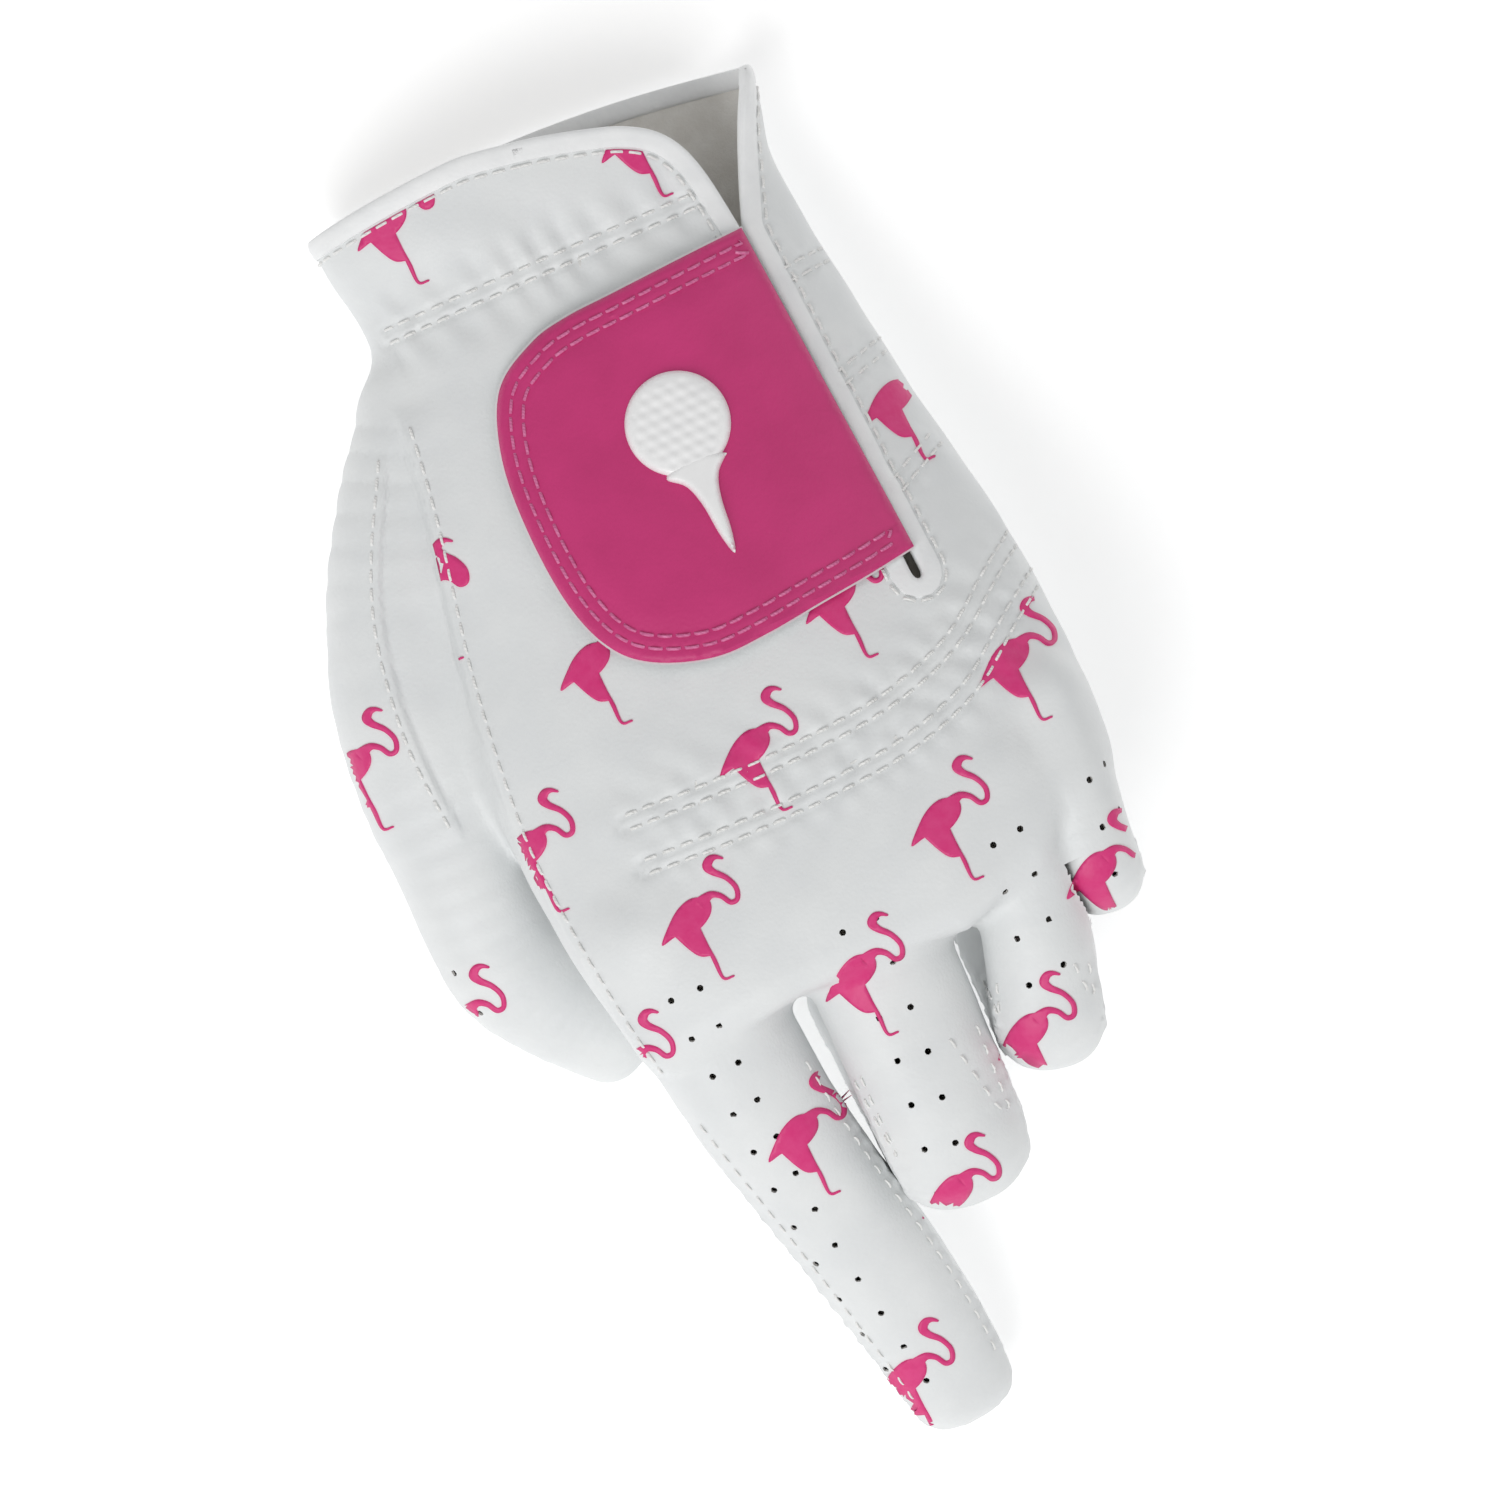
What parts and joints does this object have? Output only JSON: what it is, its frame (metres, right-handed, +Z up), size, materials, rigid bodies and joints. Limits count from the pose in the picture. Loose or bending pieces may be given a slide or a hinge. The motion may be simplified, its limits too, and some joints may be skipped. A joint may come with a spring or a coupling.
{
  "type": "golf glove",
  "caption": "Left-hand golf glove in white leather with a hook and loop closure tab, curled finger ends and a slit wrist opening",
  "frame": {"origin": "on the table, under the flat resting patch of the palm's heel, with the back of the hand up", "axes": "+X towards the thumb side, +Y towards the fingertips and the longest side, +Z up out of the back of the hand"},
  "size_m": [0.1141, 0.2152, 0.0533],
  "materials": {
    "white_leather": "soft white sheepskin with a small pink print",
    "plain_leather": "soft plain white sheepskin",
    "pink_leather": "smooth pink leather",
    "binding": "thin white folded binding",
    "elastic": "white woven elastic tape",
    "thread": "white polyester sewing thread",
    "pink_thread": "pink polyester sewing thread",
    "hook": "white moulded nylon hooks",
    "loop": "white brushed nylon loops",
    "badge": "white soft moulded badge",
    "lining": "thin white leather lining"
  },
  "bodies": {
    "hand": {"back_panel": "white_leather", "palm_panel": "plain_leather", "fourchette_index_middle": "plain_leather", "fourchette_middle_ring": "plain_leather", "fourchette_ring_little": "plain_leather", "cuff_binding": "binding", "slit_binding": "binding", "thumb_back_panel": "white_leather", "thumb_palm_panel": "plain_leather", "knuckle_tape_front": "elastic", "knuckle_tape_rear": "elastic", "wrist_tape": "elastic", "knuckle_stitching": "thread", "wrist_stitching": "thread", "loop_patch": "loop"},
    "closure_tab": {"tab_lining": "lining", "tab_leather": "pink_leather", "hook_patch": "hook", "tab_stitching": "pink_thread", "badge_ball": "badge", "badge_tee": "badge"},
    "thumb_end": {"thumb_tip_back": "white_leather", "thumb_tip_palm": "plain_leather"},
    "index_finger": {"index_back": "white_leather", "index_palm": "plain_leather", "index_fourchette": "plain_leather"},
    "middle_end": {"middle_back": "white_leather", "middle_palm": "plain_leather", "middle_fourchette": "plain_leather"},
    "ring_end": {"ring_back": "white_leather", "ring_palm": "plain_leather", "ring_fourchette": "plain_leather"},
    "little_end": {"little_back": "white_leather", "little_palm": "plain_leather", "little_fourchette": "plain_leather"}
  },
  "joints": [
    {"name": "tab_peel", "type": "hinge", "parent": "hand", "child": "closure_tab", "pos_m": [-0.0284, -0.01055, 0.03823], "axis": [0.0733, -0.9547, -0.2883], "range_deg": [0, 130]},
    {"name": "index_flex", "type": "hinge", "parent": "hand", "child": "index_finger", "pos_m": [0.02612, 0.08842, 0.03939], "axis": [-0.9877, -0.1564, 0], "range_deg": [0, 50]},
    {"name": "middle_straighten", "type": "hinge", "parent": "hand", "child": "middle_end", "pos_m": [-0.00034, 0.11664, 0.0343], "axis": [0.9954, 0.0958, 0], "range_deg": [0, 135]},
    {"name": "ring_straighten", "type": "hinge", "parent": "hand", "child": "ring_end", "pos_m": [-0.01974, 0.10209, 0.03674], "axis": [0.9994, 0.0349, 0], "range_deg": [0, 125]},
    {"name": "little_straighten", "type": "hinge", "parent": "hand", "child": "little_end", "pos_m": [-0.03824, 0.08272, 0.04027], "axis": [0.9945, 0.1045, 0], "range_deg": [0, 110]},
    {"name": "thumb_straighten", "type": "hinge", "parent": "hand", "child": "thumb_end", "pos_m": [0.06487, 0.05224, 0.014], "axis": [0, 0, -1], "range_deg": [0, 35]}
  ]
}
